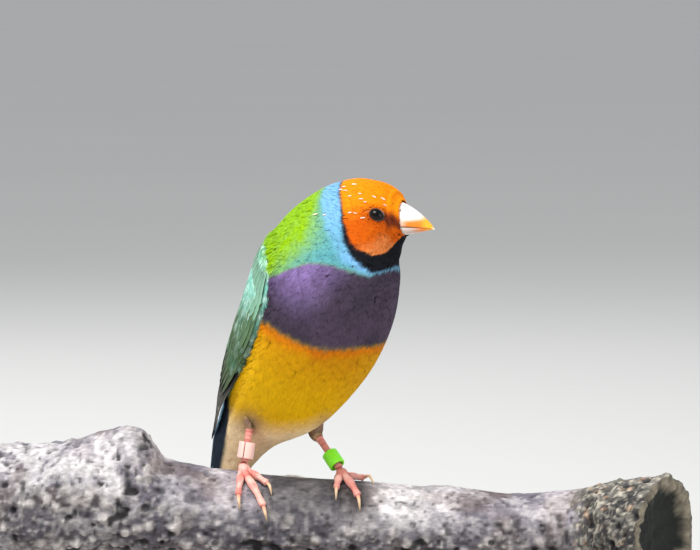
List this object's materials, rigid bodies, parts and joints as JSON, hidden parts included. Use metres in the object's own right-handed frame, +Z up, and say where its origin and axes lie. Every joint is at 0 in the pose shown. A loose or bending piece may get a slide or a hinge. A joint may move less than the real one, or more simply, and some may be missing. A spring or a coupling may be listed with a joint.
{
  "type": "gouldian finch model on a display stand",
  "caption": "Life-size museum-style gouldian finch perched on a short cut branch, held by a plain wooden base and two brass rods.",
  "frame": {"origin": "middle of the stand base's underside, on the plane that it stands on", "axes": "+X runs along the branch to the viewer's right, -Y points at the viewer's side, where the bird's breast and right side are seen, and +Z is up"},
  "size_m": [0.1727, 0.08, 0.1224],
  "materials": {
    "head_plumage": "matte",
    "neck_plumage": "matte",
    "breast_plumage": "matte",
    "belly_plumage": "matte",
    "rump_plumage": "matte",
    "thigh_plumage": "matte",
    "wing_feathers": "matte",
    "tail_feathers": "matte",
    "eye": "gloss",
    "bill": "satin",
    "bark": "rough",
    "base_wood": "satin",
    "rod_brass": "satin",
    "leg_skin": "satin",
    "pink_ring": "satin",
    "claw_horn": "satin",
    "green_ring": "satin"
  },
  "bodies": {
    "root": {"head": "head_plumage", "neck": "neck_plumage", "breast": "breast_plumage", "belly": "belly_plumage", "rump": "rump_plumage", "thigh_right": "thigh_plumage", "thigh_left": "thigh_plumage", "wing_right": "wing_feathers", "wing_left": "wing_feathers", "tail": "tail_feathers", "eye_right": "eye", "eye_left": "eye", "bill_upper": "bill", "bill_lower": "bill", "perch_branch": "bark", "stand_base": "base_wood", "stand_rod_left": "rod_brass", "stand_rod_right": "rod_brass", "tarsus_right": "leg_skin", "foot_right": "leg_skin", "band_right": "pink_ring", "claw_right_inner": "claw_horn", "claw_right_middle": "claw_horn", "claw_right_outer": "claw_horn", "claw_right_hind": "claw_horn", "tarsus_left": "leg_skin", "foot_left": "leg_skin", "band_left": "green_ring", "claw_left_inner": "claw_horn", "claw_left_middle": "claw_horn", "claw_left_outer": "claw_horn", "claw_left_hind": "claw_horn"}
  },
  "joints": []
}
